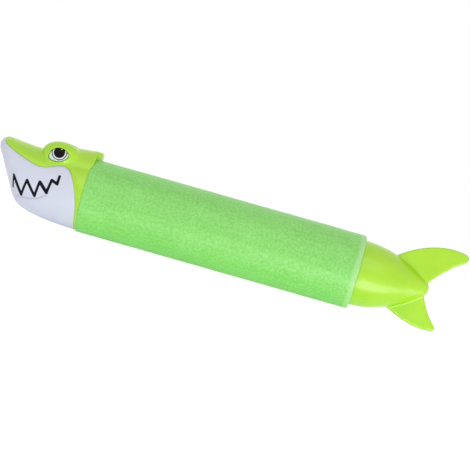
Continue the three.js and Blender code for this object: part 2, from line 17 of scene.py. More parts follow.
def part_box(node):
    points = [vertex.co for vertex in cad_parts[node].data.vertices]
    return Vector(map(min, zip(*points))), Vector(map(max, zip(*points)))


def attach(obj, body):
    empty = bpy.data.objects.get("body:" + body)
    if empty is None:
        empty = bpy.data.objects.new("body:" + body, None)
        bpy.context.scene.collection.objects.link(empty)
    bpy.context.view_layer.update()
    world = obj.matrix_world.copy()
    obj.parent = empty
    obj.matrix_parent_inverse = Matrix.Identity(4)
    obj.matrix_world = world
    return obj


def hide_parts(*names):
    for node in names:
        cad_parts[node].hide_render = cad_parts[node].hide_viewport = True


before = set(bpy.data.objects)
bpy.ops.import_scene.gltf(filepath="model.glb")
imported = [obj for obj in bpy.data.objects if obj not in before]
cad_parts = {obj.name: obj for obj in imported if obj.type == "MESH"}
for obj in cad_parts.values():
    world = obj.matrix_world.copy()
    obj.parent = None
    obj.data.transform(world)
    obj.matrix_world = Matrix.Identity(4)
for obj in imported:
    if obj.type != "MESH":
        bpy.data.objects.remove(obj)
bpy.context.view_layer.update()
MM = 0.001
tube_low, tube_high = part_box("barrel_tube")
AXIS = (tube_low.z + tube_high.z) / 2
nose, rear_of_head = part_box("face_shell")
COLLAR = rear_of_head.x
HEAD_LENGTH = COLLAR - nose.x
print("nodes", len(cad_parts), "axis height", round(AXIS, 4), "head length", round(HEAD_LENGTH, 4))

# %% [markdown]
# Most pieces pass through the same few steps: a bmesh becomes an object, other objects are joined to it
# or cut from it, and its sharp edges are melted a little, as a moulded edge is. A bevel could round
# simple edges, but where a brow meets a crest there is no clean edge to bevel. Remeshing to small even
# cells and smoothing them rounds every edge alike, which is how a plastic mould behaves.

# %% Tools for joining, cutting and melting
def as_object(bm, name):
    """Turns a bmesh into an object of the scene, with its normals outward."""
    bmesh.ops.recalc_face_normals(bm, faces=bm.faces)
    mesh = bpy.data.meshes.new(name)
    bm.to_mesh(mesh)
    bm.free()
    thing = bpy.data.objects.new(name, mesh)
    bpy.context.scene.collection.objects.link(thing)
    return thing


def settle(thing):
    """Turns the modifiers' result into the object's own mesh."""
    graph = bpy.context.evaluated_depsgraph_get()
    mesh = bpy.data.meshes.new_from_object(thing.evaluated_get(graph))
    thing.modifiers.clear()
    thing.data = mesh


def combine(thing, how, *tools):
    """Joins other objects to a thing, or cuts it with them, one by one. The others are used up."""
    for tool in tools:
        step = thing.modifiers.new(how, "BOOLEAN")
        step.operation = how
        step.solver = "EXACT"
        step.object = tool
        settle(thing)
        bpy.data.objects.remove(tool)
    return thing


def melt(thing, grain, rounds):
    """Remeshes to cells of that size and smooths them, which rounds edges and fills creases."""
    cells = thing.modifiers.new("cells", "REMESH")
    cells.mode = "VOXEL"
    cells.voxel_size = grain
    soft = thing.modifiers.new("soften", "SMOOTH")
    soft.factor = 0.5
    soft.iterations = rounds
    settle(thing)


print("modelling tools ready")

# %% [markdown]
# A finished piece is handed over in one go. It gets its material and smooth shading that stays crisp where
# the surface turns sharply. Then it is said which body carries it, so that it moves with that body, and
# which measured nodes it stands for.

# %% A tool for handing over a piece
SHARP = math.radians(50)


def dress(thing, body, slot, material, *stands_for):
    """Hands a finished piece over to its body, with its finish and the nodes that it stands for."""
    thing.data.materials.clear()
    thing.data.materials.append(material)
    for face in thing.data.polygons:
        face.use_smooth = True
    thing.data.set_sharp_from_angle(angle=SHARP)
    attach(thing, body)
    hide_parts(*stands_for)
    print(thing.name, len(thing.data.polygons), "faces")


print("handing over ready")

# %% [markdown]
# Materials come next, so that each piece can be dressed as soon as it is made. A small helper adds a node
# and sets its inputs, because node trees written out by hand get long. Each finish is then a short recipe
# on the one shader.

# %% Tools for materials
def new_finish(name, **settings):
    """A material and its one shader, with the shader's inputs set by name."""
    material = bpy.data.materials.new(name)
    material.use_nodes = True
    shader = material.node_tree.nodes["Principled BSDF"]
    for key, value in settings.items():
        shader.inputs[key.replace("_", " ")].default_value = value
    return material, shader


def add_node(owner, kind, links=None, **values):
    """Adds a node to a material or a world, sets inputs by name, and links inputs to other outputs."""
    node = owner.node_tree.nodes.new(kind)
    for key, value in values.items():
        node.inputs[key.replace("_", " ")].default_value = value
    for key, output in (links or {}).items():
        owner.node_tree.links.new(output, node.inputs[key])
    return node


def join(owner, output, shader, name):
    """Links an output to one input of the shader."""
    owner.node_tree.links.new(output, shader.inputs[name])


print("material tools ready")

# %% [markdown]
# A moulded or extruded surface is never quite even, and noise stands for that. All noises here read
# Object coordinates in metres, so a scale of 1000 means a pattern of about a millimetre, whatever the
# shape. A ramp turns a noise into colours, a range turns it into other values, and a bump into fine relief.

# %% Tools for patterns
def place_of(material):
    """The place of a point in its object, in metres."""
    return add_node(material, "ShaderNodeTexCoord").outputs["Object"]


def noise_of(material, place, scale, detail=2.0):
    """A noise from 0 to 1. More detail adds finer layers."""
    node = add_node(material, "ShaderNodeTexNoise", {"Vector": place}, Scale=scale, Detail=detail)
    return node.outputs["Fac"]


def range_of(owner, value, smooth=False, **ends):
    """A value carried from one range to another, from 0 and 1 to 0 and 1 where nothing else is said."""
    node = add_node(owner, "ShaderNodeMapRange", {"Value": value}, **ends)
    if smooth:
        node.interpolation_type = "SMOOTHSTEP"
    return node.outputs["Result"]


def ramp_of(material, value, *stops):
    """A colour ramp on a value from 0 to 1. Each stop is a place and a colour."""
    ramp = add_node(material, "ShaderNodeValToRGB", {"Fac": value})
    points = ramp.color_ramp.elements
    while len(points) < len(stops):
        points.new(0.5)
    for point, (place, colour) in zip(points, stops):
        point.position = place
        point.color = (*colour, 1)
    return ramp.outputs["Color"]


def bump_of(material, height, strength, distance, under=None):
    """A bump made by a height, on top of another bump if there is one."""
    links = {"Height": height}
    if under:
        links["Normal"] = under
    return add_node(material, "ShaderNodeBump", links, Strength=strength, Distance=distance).outputs["Normal"]


print("pattern tools ready")

# %% [markdown]
# The lime plastic of hood and tail is a coloured, glossy moulding. A real one isn't one flat colour:
# pigment swirls a little as it flows into the mould, and the gloss is broken by a fine orange-peel skin
# and by handling. Two noises vary the colour and the roughness, and a finer one makes the skin.

# %% Lime plastic
LIME_SHADE, LIME_LIGHT = (0.39, 0.74, 0.003), (0.45, 0.8, 0.006)
SKIN_DEPTH = 0.2 * MM


def vary_gloss(material, shader, place, scale, least, most):
    """Roughness that wanders between two values, as handling leaves it."""
    handling = noise_of(material, place, scale, detail=5.0)
    join(material, range_of(material, handling, To_Min=least, To_Max=most), shader, "Roughness")


def add_skin(material, shader, place, scale, strength):
    """A fine bump like the peel of an orange."""
    peel = noise_of(material, place, scale)
    join(material, bump_of(material, peel, strength, SKIN_DEPTH), shader, "Normal")


lime, lime_shader = new_finish("lime_plastic", IOR=1.66)
spot = place_of(lime)
swirl = noise_of(lime, spot, scale=55.0, detail=4.0)
join(lime, ramp_of(lime, swirl, (0.25, LIME_SHADE), (0.75, LIME_LIGHT)), lime_shader, "Base Color")
vary_gloss(lime, lime_shader, spot, scale=140.0, least=0.18, most=0.26)
add_skin(lime, lime_shader, spot, scale=1400.0, strength=0.12)
print(lime.name)

# %% [markdown]
# The face is a white moulding with a cool cast, and its mouth is printed on it in black. The print is
# not an image: each point of the face will carry its distance to the mouth line in an attribute, and
# the finish turns what lies within the line black. That stays sharp at any zoom. A second attribute says
# how deep a point lies in the lip's groove, and the finish darkens the groove a little: painted shade.

# %% White face plastic with its printed mouth
WHITE_SHADE, WHITE_LIGHT = (0.685, 0.715, 0.845), (0.73, 0.76, 0.88)
GROOVE_PAINTED_SHADE, GROOVE_SHADE_SHARE = (0.42, 0.44, 0.56), 0.5
MOUTH_INK, INK_BLUR = (0.006, 0.006, 0.011), 0.08
PLASTIC_SHINE, INK_SHINE = 0.5, 0.08


def stored(material, name):
    """A value that the mesh keeps at each of its points."""
    node = add_node(material, "ShaderNodeAttribute")
    node.attribute_name = name
    return node.outputs["Fac"]


def tinted(material, share, under, over):
    """One colour laid over another by a share from 0 to 1."""
    mix = add_node(material, "ShaderNodeMix", {0: share})
    mix.data_type = "RGBA"
    material.node_tree.links.new(under, mix.inputs[6])
    mix.inputs[7].default_value = (*over, 1)
    return mix.outputs[2]


white, white_shader = new_finish("white_face_plastic", IOR=1.48)
spot = place_of(white)
cloud = noise_of(white, spot, scale=45.0, detail=4.0)
white_tone = ramp_of(white, cloud, (0.3, WHITE_SHADE), (0.7, WHITE_LIGHT))
# Painted shade: the colour is darkened where the lip's groove lies, more where it is deeper.
groove_shade_share = range_of(white, stored(white, "lip"), To_Max=GROOVE_SHADE_SHARE)
ink = range_of(white, stored(white, "mouth"), From_Min=INK_BLUR, From_Max=-INK_BLUR)
with_groove_shade = tinted(white, groove_shade_share, white_tone, GROOVE_PAINTED_SHADE)
join(white, tinted(white, ink, with_groove_shade, MOUTH_INK), white_shader, "Base Color")
shine = range_of(white, ink, To_Min=PLASTIC_SHINE, To_Max=INK_SHINE)
join(white, shine, white_shader, "Specular IOR Level")
add_skin(white, white_shader, spot, scale=1300.0, strength=0.1)
vary_gloss(white, white_shader, spot, scale=120.0, least=0.28, most=0.44)
print(white.name)

# %% [markdown]
# The sleeve is closed-cell foam. Its extruded skin is mottled by fine cells a millimetre or two across,
# by slow patches and by soft streaks along its length. Three noises added together drive the colour. On
# real foam each cell is a tiny dome, so a Voronoi pattern and the finest noise make the bump. The rear
# end is painted paler over its rounded rim: partly the lighter tone of sawn foam, partly a painted highlight.

# %% Green foam
FOAM_SHADE, FOAM_LIGHT = (0.183, 0.62, 0.082), (0.283, 0.765, 0.157)
SAWN_TONE_AND_HIGHLIGHT, SAWN_AND_HIGHLIGHT_SHARE = (0.5, 0.83, 0.36), 0.55
foam_low, foam_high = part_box("foam_sleeve")


def drawn_out(material, place, squeeze, scale):
    """A noise that is drawn out along the length, as an extruder leaves it."""
    stretch = add_node(material, "ShaderNodeMapping", {"Vector": place}, Scale=(squeeze, 1.0, 1.0))
    return noise_of(material, stretch.outputs["Vector"], scale, detail=3.0)


def blend_of(material, first, second, share):
    """The first value times a share, plus the second value."""
    mix = add_node(material, "ShaderNodeMath", {0: first, 2: second})
    mix.operation = "MULTIPLY_ADD"
    mix.inputs[1].default_value = share
    return mix.outputs[0]


foam, foam_shader = new_finish(
    "green_foam",
    Roughness=0.45,
    IOR=1.5,
    Specular_IOR_Level=0.9,
    Sheen_Weight=0.12,
    Sheen_Roughness=0.5,
)
spot = place_of(foam)
cells = add_node(foam, "ShaderNodeTexVoronoi", {"Vector": spot}, Scale=600.0)
grain = noise_of(foam, spot, scale=620.0, detail=4.0)
patches = noise_of(foam, spot, scale=70.0, detail=3.0)
streaks = drawn_out(foam, spot, squeeze=0.06, scale=420.0)
mottle = blend_of(foam, streaks, grain, share=0.35)
mottle = blend_of(foam, patches, mottle, share=0.25)
foam_tone = ramp_of(foam, mottle, (0.6, FOAM_SHADE), (1.0, FOAM_LIGHT))
along = add_node(foam, "ShaderNodeSeparateXYZ", {0: spot}).outputs["X"]
# Painted paler towards the rear end: the sawn foam's own lighter tone plus a painted highlight on the rim.
pale_rim_and_highlight_ends = {"From_Min": foam_high.x - 4.5 * MM, "From_Max": foam_high.x - 1.5 * MM}
sawn_and_highlight = range_of(foam, along, smooth=True, To_Max=SAWN_AND_HIGHLIGHT_SHARE, **pale_rim_and_highlight_ends)
join(foam, tinted(foam, sawn_and_highlight, foam_tone, SAWN_TONE_AND_HIGHLIGHT), foam_shader, "Base Color")
domes = bump_of(foam, cells.outputs["Distance"], strength=0.3, distance=0.5 * MM)
relief = bump_of(foam, grain, strength=0.3, distance=0.4 * MM, under=domes)
join(foam, relief, foam_shader, "Normal")
print(foam.name)

# %% [markdown]
# An eye is a white plastic insert with a printed pupil, a thin dark ring round it and a greenish white
# outside the ring. A small white glint in the pupil is a painted highlight, standing in for a lamp's
# reflection. Seen from the side the prints are circles, so the finish measures the distance from a middle
# in the side plane and colours rings by it. Both eyes then share one finish, because the two sides mirror
# each other.

# %% Printed eye with a painted glint
EYE_FORWARD, EYE_UP = 24.6 * MM, 23.0 * MM
PUPIL_UP = EYE_UP + 1.9 * MM
PAINTED_GLINT_FORWARD, PAINTED_GLINT_UP = EYE_FORWARD - 1.0 * MM, PUPIL_UP + 2.6 * MM
PAINTED_GLINT_RIM, PAINTED_GLINT_CORE = 0.075, 0.05
PRINT_REACH, PUPIL_SHINE = 8 * MM, 0.12
EYE_WHITE, RIM_WHITE = (0.84, 0.85, 0.88), (0.68, 0.82, 0.74)
PUPIL_INK, RING_INK = (0.004, 0.004, 0.006), (0.05, 0.05, 0.075)
eye_print_and_glint, eye_shader = new_finish("printed_eye_and_glint", Roughness=0.3, IOR=1.45)
spot = place_of(eye_print_and_glint)


def reach_from(forward, up):
    """Distance from a spot of the side view, where 1 is the reach of the print."""
    shift = (forward - COLLAR, 0, -AXIS - up)
    moved = add_node(eye_print_and_glint, "ShaderNodeMapping", {"Vector": spot}, Location=shift)
    flat = add_node(eye_print_and_glint, "ShaderNodeVectorMath", {0: moved.outputs["Vector"]})
    flat.operation = "MULTIPLY"
    flat.inputs[1].default_value = (1 / PRINT_REACH, 0, 1 / PRINT_REACH)
    reach = add_node(eye_print_and_glint, "ShaderNodeVectorMath", {0: flat.outputs["Vector"]})
    reach.operation = "LENGTH"
    return reach.outputs["Value"]


rings = ramp_of(
    eye_print_and_glint,
    reach_from(EYE_FORWARD, PUPIL_UP),
    (0.505, PUPIL_INK),
    (0.525, EYE_WHITE),
    (0.61, EYE_WHITE),
    (0.63, RING_INK),
    (0.7, RING_INK),
    (0.72, RIM_WHITE),
)
# Painted highlight: a small white spot in the pupil stands in for a lamp's reflection.
painted_glint_reach = reach_from(PAINTED_GLINT_FORWARD, PAINTED_GLINT_UP)
painted_glint = range_of(eye_print_and_glint, painted_glint_reach, From_Min=PAINTED_GLINT_RIM, From_Max=PAINTED_GLINT_CORE)
join(eye_print_and_glint, tinted(eye_print_and_glint, painted_glint, rings, EYE_WHITE), eye_shader, "Base Color")
shine = range_of(eye_print_and_glint, rings, To_Min=PUPIL_SHINE, To_Max=PLASTIC_SHINE)
join(eye_print_and_glint, shine, eye_shader, "Specular IOR Level")
print(eye_print_and_glint.name)

# %% [markdown]
# The pump's own parts are plain white plastic, and its two seals are black rubber. They show only when
# the plunger is pulled, but then from close by, so they get a faint grain too: the extruded plastic fine
# lines along its length, the rubber a dull skin.

# %% White tube plastic and black rubber
TUBE_SHADE, TUBE_LIGHT = (0.77, 0.79, 0.82), (0.82, 0.84, 0.86)
RUBBER_SHADE, RUBBER_LIGHT = (0.012, 0.012, 0.013), (0.03, 0.03, 0.032)
tube, tube_shader = new_finish("white_tube_plastic", Roughness=0.38, IOR=1.49)
spot = place_of(tube)
cloud = noise_of(tube, spot, scale=60.0, detail=4.0)
join(tube, ramp_of(tube, cloud, (0.3, TUBE_SHADE), (0.7, TUBE_LIGHT)), tube_shader, "Base Color")
lines = drawn_out(tube, spot, squeeze=0.03, scale=900.0)
join(tube, bump_of(tube, lines, strength=0.08, distance=SKIN_DEPTH), tube_shader, "Normal")

rubber, rubber_shader = new_finish("black_rubber", Roughness=0.55)
spot = place_of(rubber)
cloud = noise_of(rubber, spot, scale=400.0, detail=3.0)
join(rubber, ramp_of(rubber, cloud, (0.3, RUBBER_SHADE), (0.7, RUBBER_LIGHT)), rubber_shader, "Base Color")
add_skin(rubber, rubber_shader, spot, scale=1500.0, strength=0.2)
print(tube.name, rubber.name)

# %% [markdown]
# Round pieces are spun. A profile of places along the axis, each with a radius, is swept round the axis in
# many steps, and the last step is welded to the first. A lathe follows such a profile too. The sleeve, the
# tail's body and the turned parts of the pump are all made with this one tool.

# %% A tool for spinning
WELD = 0.001 * MM


def spun(profile, steps, cuts=0, closed=True):
    """A profile of places along X and radii, spun round the barrel's axis. Cuts divide its long sides."""
    bm = bmesh.new()
    corners = [bm.verts.new((along, 0, AXIS + radius)) for along, radius in profile]
    following = corners[1:] + corners[:1] if closed else corners[1:]
    edges = [bm.edges.new(pair) for pair in zip(corners, following)]
    if cuts:
        half = max(e.calc_length() for e in edges) / 2
        bmesh.ops.subdivide_edges(bm, edges=[e for e in edges if e.calc_length() > half], cuts=cuts)
    bmesh.ops.spin(
        bm,
        geom=bm.verts[:] + bm.edges[:],
        cent=(0, 0, AXIS),
        axis=(1, 0, 0),
        angle=2 * math.pi,
        steps=steps,
        use_merge=True,
    )
    bmesh.ops.remove_doubles(bm, verts=bm.verts, dist=WELD)
    bmesh.ops.recalc_face_normals(bm, faces=bm.faces)
    return bm


def wall_of(start, end, inner, outer):
    """The profile of a plain tube."""
    return [(start, inner), (start, outer), (end, outer), (end, inner)]


print("spinning tool ready")

# %% [markdown]
# The foam sleeve is a thick tube, so a profile of its wall is spun. Its rear end has a shallow seat into
# which the tail's front edge presses. The two outer rims are cut foam, rounded by bevels. Real foam is
# never perfectly straight, so the skin is moved by a slow and a fine noise of a tenth or two of a
# millimetre, and it is flat where the toy lies on it.

# %% Foam sleeve
FOAM_RADIUS = foam_high.y
FOAM_BORE = tube_high.y + 0.3 * MM
HEAD_PRESS = 0.22 * MM
SEAT_RADIUS, SEAT_DEPTH = 24.8 * MM, 1.1 * MM
FRONT_RIM, REAR_RIM = 0.4 * MM, 1.9 * MM
SLOW_WAVE, FINE_WAVE, SINK = 0.22 * MM, 0.09 * MM, 0.15 * MM
SLOW_SCALE, FINE_SCALE = 45, 420
foam_start, foam_end = foam_low.x - HEAD_PRESS, foam_high.x + SEAT_DEPTH
sleeve_profile = [
    (foam_start, FOAM_BORE),
    (foam_start, FOAM_RADIUS),
    (foam_end, FOAM_RADIUS),
    (foam_end, SEAT_RADIUS),
    (foam_high.x, SEAT_RADIUS),
    (foam_high.x, FOAM_BORE),
]
bm = spun(sleeve_profile, steps=144)


def on_rim(vert, place):
    """True for a corner of the outer rim at that place along the sleeve."""
    radius = math.hypot(vert.co.y, vert.co.z - AXIS)
    return abs(vert.co.x - place) < WELD and radius > FOAM_RADIUS - WELD


for place, width in ((foam_start, FRONT_RIM), (foam_end, REAR_RIM)):
    rim = [e for e in bm.edges if all(on_rim(v, place) for v in e.verts)]
    bmesh.ops.bevel(bm, geom=rim, offset=width, segments=6, profile=0.5, affect="EDGES", material=-1)
lengthwise = [e for e in bm.edges if e.calc_length() > 100 * MM]
bmesh.ops.subdivide_edges(bm, edges=lengthwise, cuts=130, use_grid_fill=True)
for vert in bm.verts:
    out = Vector((0, vert.co.y, vert.co.z - AXIS))
    if out.length > FOAM_BORE + MM:
        wave = SLOW_WAVE * noise.noise(vert.co * SLOW_SCALE) + FINE_WAVE * noise.noise(vert.co * FINE_SCALE)
        vert.co += out.normalized() * (wave - SINK)
    vert.co.z = max(vert.co.z, 0)
foam_sleeve = as_object(bm, "foam_tube")
dress(foam_sleeve, "barrel", "sleeve_foam", foam, "foam_sleeve")

# %% [markdown]
# The head is a lofted form. Two side lines run from the collar to the nose: one over the snout, one
# under the belly and up the mouth. They are Bezier curves, drawn in shares of the head's length and
# radius. A point of a line is found by its share of the line's length, so that the two lines keep step.

# %% Side lines of the head
HEAD_RADIUS = 26.25 * MM
CURVE_POINTS = 60


def on_head(forward, up):
    """A spot of the side view, from shares of the head's length and radius."""
    return Vector((forward * HEAD_LENGTH, up * HEAD_RADIUS))


def bezier_run(start, *stretches):
    """Points along a run of Bezier curves. Each stretch is two handles and an end."""
    points = [start]
    for first, second, end in stretches:
        points += interpolate_bezier(points[-1], first, second, end, CURVE_POINTS)[1:]
    return [Vector(p) for p in points]


NOSE = on_head(0.986, 0.76)
SNOUT_LINE = bezier_run(
    on_head(0, 1),
    (on_head(0.22, 1), on_head(0.4, 0.91), on_head(0.59, 0.918)),
    (on_head(0.7, 0.922), on_head(0.79, 0.96), on_head(0.885, 0.98)),
    (on_head(0.962, 1.003), on_head(0.99, 0.97), NOSE),
)
JAW_LINE = bezier_run(
    on_head(0, -1),
    (on_head(0.25, -1), on_head(0.48, -0.95), on_head(0.62, -0.8)),
    (on_head(0.68, -0.733), on_head(0.72, -0.645), on_head(0.76, -0.45)),
    (on_head(0.808, -0.2), on_head(0.867, 0.05), on_head(0.916, 0.31)),
    (on_head(0.951, 0.475), on_head(0.986, 0.61), NOSE),
)


def at_share(line, share, offset, side):
    """The point at a share of a line's length, pushed out of the head by an offset."""
    lengths = [(b - a).length for a, b in zip(line, line[1:])]
    left = share * sum(lengths)
    k = 0
    while k < len(lengths) - 1 and left > lengths[k]:
        left -= lengths[k]
        k += 1
    step = (line[k + 1] - line[k]).normalized()
    return line[k] + step * left + Vector((-step.y, step.x)) * side * offset


print("snout points", len(SNOUT_LINE), "jaw points", len(JAW_LINE))

# %% [markdown]
# Oval rings are strung between the two side lines and narrow towards the nose. A ring leans where one line
# runs ahead of the other, so it stays square to the head as the head bends. Each ring is a unit circle
# placed by a matrix, and bridging the rings makes the skin. The same form is made again with a small
# offset, inwards for the hollow of the shell and outwards for the hood, so that every wall is even.

# %% Head form from bridged rings
RING_POINTS, HEAD_RINGS = 80, 36
LAST_SHARE, NARROWING = 0.9995, 0.45


def ring_at(bm, middle, across, upward):
    """An oval ring of edges: a unit circle carried to its place by a matrix."""
    place = Matrix.Identity(4)
    place.col[0][:3], place.col[1][:3], place.col[3][:3] = across, upward, middle
    made = bmesh.ops.create_circle(bm, segments=RING_POINTS, radius=1, matrix=place)
    return list({e for v in made["verts"] for e in v.link_edges})


def loft(bm, rings):
    """Bridges each ring to the next and closes both ends."""
    for first, second in zip(rings, rings[1:]):
        bmesh.ops.bridge_loops(bm, edges=first + second)
    for end in (rings[0], rings[-1]):
        bmesh.ops.contextual_create(bm, geom=end)
    return bm


def head_form(offset, overrun=0.0):
    """The whole head, grown by an offset and carried on behind the collar by an overrun."""
    bm = bmesh.new()
    rings = []
    for k in range(HEAD_RINGS + 1):
        share = min(math.sin(math.pi / 2 * k / HEAD_RINGS), LAST_SHARE)
        top, bottom = at_share(SNOUT_LINE, share, offset, 1), at_share(JAW_LINE, share, offset, -1)
        middle, half = (top + bottom) / 2, (top - bottom) / 2
        width = HEAD_RADIUS * (1 - share**2) ** NARROWING + offset * (1 - share**8)
        across, upward = (0, width, 0), (-half.x, 0, half.y)
        if k == 0 and overrun:
            rings.append(ring_at(bm, (COLLAR + overrun, 0, AXIS + middle.y), across, upward))
        rings.append(ring_at(bm, (COLLAR - middle.x, 0, AXIS + middle.y), across, upward))
    return as_object(loft(bm, rings), "head_form")


print("head form ready")

# %% [markdown]
# The hood is a second moulding that lies in a step of the white shell. Seen from the side its edge is
# one smooth line: down behind the tip of the nose, back under the eye, and down beside the collar. The
# line is drawn once and pushed right across the head, and that block is what cuts both shells, so that
# they meet with an even gap.

# %% The hood's edge and the block that it cuts
EDGE_POINTS = [
    (0.942, 2), (0.942, 1.2), (0.94, 0.98), (0.925, 0.835), (0.865, 0.735), (0.76, 0.62), (0.62, 0.5),
    (0.53, 0.44), (0.45, 0.45), (0.36, 0.54), (0.27, 0.615), (0.21, 0.57), (0.165, 0.45), (0.12, 0.25),
    (0.08, 0.02), (0.045, -0.3), (0.027, -0.6), (0.021, -1.3),
]


def smooth_run(points, steps):
    """A smooth line through points, as Bezier stretches with handles along the neighbours' chord."""
    run = [points[0]]
    for k in range(len(points) - 1):
        before, after = points[max(k - 1, 0)], points[min(k + 2, len(points) - 1)]
        start, end = points[k], points[k + 1]
        handles = start + (end - before) / 6, end - (after - start) / 6
        run += interpolate_bezier(start, *handles, end, steps)[1:]
    return [Vector(p) for p in run]


def slab(outline, start, depth):
    """An outline of the side view, as places along X and heights, pushed out sideways."""
    bm = bmesh.new()
    flat = bm.faces.new([bm.verts.new((along, start, height)) for along, height in outline])
    pushed = bmesh.ops.extrude_face_region(bm, geom=[flat])
    moved = [v for v in pushed["geom"] if isinstance(v, bmesh.types.BMVert)]
    bmesh.ops.translate(bm, verts=moved, vec=(0, depth, 0))
    return bm


HOOD_EDGE = smooth_run([on_head(*p) for p in EDGE_POINTS], steps=8)


def hood_block(margin, overrun=0.0):
    """A block across the head that ends at the hood's edge, moved out by a margin."""
    reach = 2 * HEAD_RADIUS
    outline = [Vector((-overrun, -reach)), Vector((-overrun, HOOD_EDGE[0].y))]
    befores, afters = HOOD_EDGE[:1] + HOOD_EDGE, HOOD_EDGE[1:] + HOOD_EDGE[-1:]
    for before, point, after in zip(befores, HOOD_EDGE, afters):
        step = (after - before).normalized()
        outline.append(point + Vector((-step.y, step.x)) * margin)
    outline.append(Vector((outline[-1].x, -reach)))
    corners = [(COLLAR - p.x, AXIS + p.y) for p in outline]
    return as_object(slab(corners, -reach, 2 * reach), "hood_block")


print("hood edge points", len(HOOD_EDGE))

# %% [markdown]
# The white shell is the head form with a hollow inside, a step for the hood cut into its upper half and
# a round mouth for the nozzle. Cutting comes first and melting last, so that the rims of step and mouth
# are rounded like the rest of the moulding.

# %% White face shell
STEP_DEPTH, SHELL_WALL = 1.3 * MM, 1.6 * MM
FIT, EDGE_FIT = 0.3 * MM, 0.05 * MM
nozzle_low, nozzle_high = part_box("nozzle_tip")
step_block = combine(hood_block(EDGE_FIT), "DIFFERENCE", head_form(-STEP_DEPTH, MM))
bm = bmesh.new()
bmesh.ops.create_cone(
    bm,
    cap_ends=True,
    segments=64,
    radius1=nozzle_high.y + FIT,
    radius2=nozzle_high.y + FIT,
    depth=60 * MM,
    matrix=Matrix.Translation((nozzle_low.x, 0, AXIS)) @ Matrix.Rotation(math.pi / 2, 4, "Y"),
)
mouth_hole = as_object(bm, "mouth_hole")
face = head_form(0)
face.name = "white_face"
combine(face, "DIFFERENCE", step_block, head_form(-STEP_DEPTH - SHELL_WALL, MM), mouth_hole)
melt(face, grain=0.55 * MM, rounds=3)
print("face box", [round(c, 4) for c in face.bound_box[0]])

# %% [markdown]
# The mouth is a zigzag line across each cheek, and the lower lip a curve under it. Their corners are given
# in the side view, as millimetres in front of the collar and above the axis, with each stroke's half width.
# Rays cast from the side carry them onto the cheek, because a flat line would float before its bulge.

# %% Mouth and lip lines on the cheek
MOUTH = [
    (50.8, -8.0), (51.9, 0.3), (43.2, -11.6), (41.2, -0.4), (33.1, -10.1),
    (31.8, 0.9), (25.0, -5.3), (23.7, 4.4), (19.1, 2.6), (19.1, 8.4),
]
STROKES = [0.85, 1.25, 0.9, 1.05, 0.95, 1.25, 1.0, 1.05, 1.0]
LIP = [(47.8, -13.6), (42.4, -13.5), (37.0, -12.8), (32.8, -11.7), (29.0, -10.0), (25.2, -7.0)]
STROKE_STEPS, LIP_STEPS = 120, 40
cheek = BVHTree.FromObject(face, bpy.context.evaluated_depsgraph_get())


def on_cheek(forward, up):
    """The place on the left cheek that lies there in the side view."""
    start = Vector((COLLAR - forward * MM, -100 * MM, AXIS + up * MM))
    return cheek.ray_cast(start, Vector((0, 1, 0)))[0]


def tree_of(spots):
    """A tree that finds the nearest of many spots quickly."""
    tree = kdtree.KDTree(len(spots))
    for index, spot in enumerate(spots):
        tree.insert(spot, index)
    tree.balance()
    return tree


stroke_spots, stroke_halves = [], []
for first, second, half in zip(MOUTH, MOUTH[1:], STROKES):
    for k in range(STROKE_STEPS + 1):
        spot = on_cheek(*Vector(first).lerp(Vector(second), k / STROKE_STEPS))
        if spot:
            stroke_spots.append(spot)
            stroke_halves.append(half)
stroke_tree = tree_of(stroke_spots)
lip_tree = tree_of([on_cheek(*p) for p in smooth_run([Vector(p) for p in LIP], LIP_STEPS)])
print("spots on the mouth line", len(stroke_spots))

# %% [markdown]
# Every point of the face now stores how far it lies outside the nearest stroke, which the finish turns
# into the print. The lip is a shallow groove in the mesh itself: points near its line sink along their
# normals, less and less with their distance. Only the outer skin sinks, not the inside of the shell.

# %% Printed mouth and lip groove
FAR = 9.0
LIP_HALF, LIP_DEPTH = 0.65 * MM, 0.6 * MM
distances, dips = [], []
outward = [v.normal.copy() for v in face.data.vertices]
for vert, normal in zip(face.data.vertices, outward):
    spot = Vector((vert.co.x, -abs(vert.co.y), vert.co.z))
    _, index, far = stroke_tree.find(spot)
    distances.append(min(far / MM - stroke_halves[index], FAR))
    on_skin = normal.y * vert.co.y > 0
    dips.append(math.exp(-((lip_tree.find(spot)[2] / LIP_HALF) ** 2)) if on_skin else 0)
    vert.co -= normal * dips[-1] * LIP_DEPTH
face.data.attributes.new("mouth", "FLOAT", "POINT").data.foreach_set("value", distances)
# The groove's depth is stored too, and the finish paints shade into the groove from it.
face.data.attributes.new("lip", "FLOAT", "POINT").data.foreach_set("value", dips)
dress(face, "barrel", "face_plastic", white, "face_shell")

# %% [markdown]
# Two forms rise from the hood. The crest runs forward from the collar and is lofted from ovals that get
# lower and narrower on the way. The brows are long balls, one over each eye. Both could be sculpted, but
# simple forms with named sizes are easier to change, and melting will blend them into the head.

# %% Crest and brows
CREST_TOP, CREST_FALL, CREST_BASE = 33.3 * MM, 4.7 * MM, 14 * MM
CREST_WIDTH, CREST_LENGTH, OVERRUN = 20 * MM, 45 * MM, 1 * MM
CREST_RINGS, HEIGHT_LOSS, WIDTH_LOSS = 18, 0.5, 0.75
BROW_LONG, BROW_ROUND, BROW_ASIDE = 14.7 * MM, 10.15 * MM, 11.2 * MM
BROW_FORWARD = EYE_FORWARD - 0.9 * MM


def fade(share, start):
    """0 up to a start, then a smooth rise to 1."""
    x = min(max((share - start) / (1 - start), 0), 1)
    return x * x * (3 - 2 * x)


